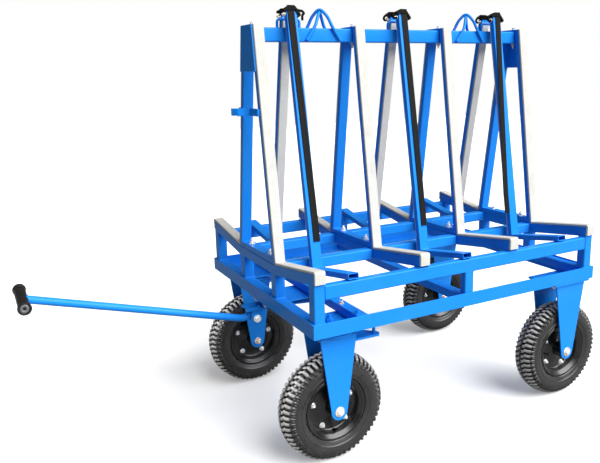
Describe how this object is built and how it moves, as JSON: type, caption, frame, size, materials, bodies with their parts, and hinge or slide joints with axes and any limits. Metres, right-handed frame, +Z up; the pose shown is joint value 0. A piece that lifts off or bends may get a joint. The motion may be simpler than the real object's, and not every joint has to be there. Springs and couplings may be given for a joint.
{
  "type": "slab transport frame",
  "caption": "Wheeled A-frame trolley for stone slabs: blue welded chassis, rubber-faced legs and arms, sliding securing bars, steered front wheels and a folding drawbar.",
  "frame": {"origin": "bottom centre of the bounding box, on the floor", "axes": "+X along the trolley away from the drawbar, +Y across it to the far side, +Z up"},
  "size_m": [2.2186, 0.9706, 1.5873],
  "materials": {
    "blue_enamel": "bright blue gloss enamel",
    "white_rubber": "pale grey-white rubber facing",
    "tyre_rubber": "black tyre rubber",
    "black_enamel": "gloss black rim enamel",
    "grip_rubber": "ribbed black grip",
    "zinc_plate": "zinc plated steel"
  },
  "bodies": {
    "chassis": {"lower_frame": "blue_enamel", "rib_1": "blue_enamel", "rib_2": "blue_enamel", "rib_3": "blue_enamel", "rib_4": "blue_enamel", "side_rail_near": "blue_enamel", "side_rail_far": "blue_enamel", "a_frame_1": "blue_enamel", "a_frame_2": "blue_enamel", "a_frame_3": "blue_enamel", "a_frame_4": "blue_enamel", "slab_rubber_near_1": "white_rubber", "slab_rubber_near_2": "white_rubber", "slab_rubber_near_3": "white_rubber", "slab_rubber_near_4": "white_rubber", "slab_rubber_far_1": "white_rubber", "slab_rubber_far_2": "white_rubber", "slab_rubber_far_3": "white_rubber", "slab_rubber_far_4": "white_rubber", "top_beam": "blue_enamel", "lifting_eye_front": "blue_enamel", "lifting_eye_rear": "blue_enamel", "drawbar_clip": "blue_enamel", "tow_mount": "blue_enamel", "swivel_base_near": "blue_enamel", "swivel_base_far": "blue_enamel", "rear_fork_near": "blue_enamel", "rear_fork_far": "blue_enamel", "rear_axle_near": "zinc_plate", "rear_axle_far": "zinc_plate"},
    "steering": {"steering_plate": "blue_enamel", "clevis_pin": "zinc_plate"},
    "drawbar_arm": {"drawbar": "blue_enamel", "handle_grip": "grip_rubber"},
    "front_fork_assembly_near": {"front_fork_near": "blue_enamel", "front_axle_near": "zinc_plate"},
    "tie_rod_body_near": {"tie_rod_near": "blue_enamel"},
    "wheel_front_near": {"tyre_front_near": "tyre_rubber", "rim_front_near": "black_enamel"},
    "wheel_rear_near": {"tyre_rear_near": "tyre_rubber", "rim_rear_near": "black_enamel"},
    "bar_near_1": {"securing_bar_near_1": "blue_enamel", "bar_rubber_near_1": "white_rubber"},
    "bar_near_2": {"securing_bar_near_2": "blue_enamel", "bar_rubber_near_2": "white_rubber"},
    "bar_near_3": {"securing_bar_near_3": "blue_enamel", "bar_rubber_near_3": "white_rubber"},
    "front_fork_assembly_far": {"front_fork_far": "blue_enamel", "front_axle_far": "zinc_plate"},
    "tie_rod_body_far": {"tie_rod_far": "blue_enamel"},
    "wheel_front_far": {"tyre_front_far": "tyre_rubber", "rim_front_far": "black_enamel"},
    "wheel_rear_far": {"tyre_rear_far": "tyre_rubber", "rim_rear_far": "black_enamel"},
    "bar_far_1": {"securing_bar_far_1": "blue_enamel", "bar_rubber_far_1": "white_rubber"},
    "bar_far_2": {"securing_bar_far_2": "blue_enamel", "bar_rubber_far_2": "white_rubber"},
    "bar_far_3": {"securing_bar_far_3": "blue_enamel", "bar_rubber_far_3": "white_rubber"}
  },
  "joints": [
    {"name": "steer", "type": "hinge", "parent": "chassis", "child": "steering", "pos_m": [-0.18454, 0, 0.476], "axis": [0, 0, 1], "range_deg": [-20, 20]},
    {"name": "drawbar_lift", "type": "hinge", "parent": "steering", "child": "drawbar_arm", "pos_m": [-0.28454, 0, 0.4359], "axis": [0, 1, 0], "range_deg": [0, 69.5]},
    {"name": "swivel_near", "type": "hinge", "parent": "chassis", "child": "front_fork_assembly_near", "pos_m": [-0.15454, -0.369, 0.4784], "axis": [0, 0, 1], "range_deg": [-20, 20]},
    {"name": "tie_rod_turn_near", "type": "hinge", "parent": "steering", "child": "tie_rod_body_near", "pos_m": [-0.03454, -0.05, 0.4874], "axis": [0, 0, 1], "range_deg": [-20, 20]},
    {"name": "spin_front_near", "type": "hinge", "parent": "front_fork_assembly_near", "child": "wheel_front_near", "pos_m": [-0.15454, -0.369, 0.19904], "axis": [0, 1, 0], "continuous": true},
    {"name": "spin_rear_near", "type": "hinge", "parent": "chassis", "child": "wheel_rear_near", "pos_m": [0.91046, -0.409, 0.19904], "axis": [0, 1, 0], "continuous": true},
    {"name": "bar_slide_near_1", "type": "slide", "parent": "chassis", "child": "bar_near_1", "axis": [0, -0.9848, 0.1736], "range_m": [0, 0.16]},
    {"name": "bar_slide_near_2", "type": "slide", "parent": "chassis", "child": "bar_near_2", "axis": [0, -0.9848, 0.1736], "range_m": [0, 0.16]},
    {"name": "bar_slide_near_3", "type": "slide", "parent": "chassis", "child": "bar_near_3", "axis": [0, -0.9848, 0.1736], "range_m": [0, 0.16]},
    {"name": "swivel_far", "type": "hinge", "parent": "chassis", "child": "front_fork_assembly_far", "pos_m": [-0.15454, 0.369, 0.4784], "axis": [0, 0, 1], "range_deg": [-20, 20]},
    {"name": "tie_rod_turn_far", "type": "hinge", "parent": "steering", "child": "tie_rod_body_far", "pos_m": [-0.03454, 0.05, 0.4874], "axis": [0, 0, 1], "range_deg": [-20, 20]},
    {"name": "spin_front_far", "type": "hinge", "parent": "front_fork_assembly_far", "child": "wheel_front_far", "pos_m": [-0.15454, 0.369, 0.19904], "axis": [0, 1, 0], "continuous": true},
    {"name": "spin_rear_far", "type": "hinge", "parent": "chassis", "child": "wheel_rear_far", "pos_m": [0.91046, 0.409, 0.19904], "axis": [0, 1, 0], "continuous": true},
    {"name": "bar_slide_far_1", "type": "slide", "parent": "chassis", "child": "bar_far_1", "axis": [0, 0.9848, 0.1736], "range_m": [0, 0.16]},
    {"name": "bar_slide_far_2", "type": "slide", "parent": "chassis", "child": "bar_far_2", "axis": [0, 0.9848, 0.1736], "range_m": [0, 0.16]},
    {"name": "bar_slide_far_3", "type": "slide", "parent": "chassis", "child": "bar_far_3", "axis": [0, 0.9848, 0.1736], "range_m": [0, 0.16]}
  ],
  "couplings": [
    {"joint": "swivel_near", "follows": "steer", "ratio": 1},
    {"joint": "tie_rod_turn_near", "follows": "steer", "ratio": -1},
    {"joint": "swivel_far", "follows": "steer", "ratio": 1},
    {"joint": "tie_rod_turn_far", "follows": "steer", "ratio": -1}
  ]
}
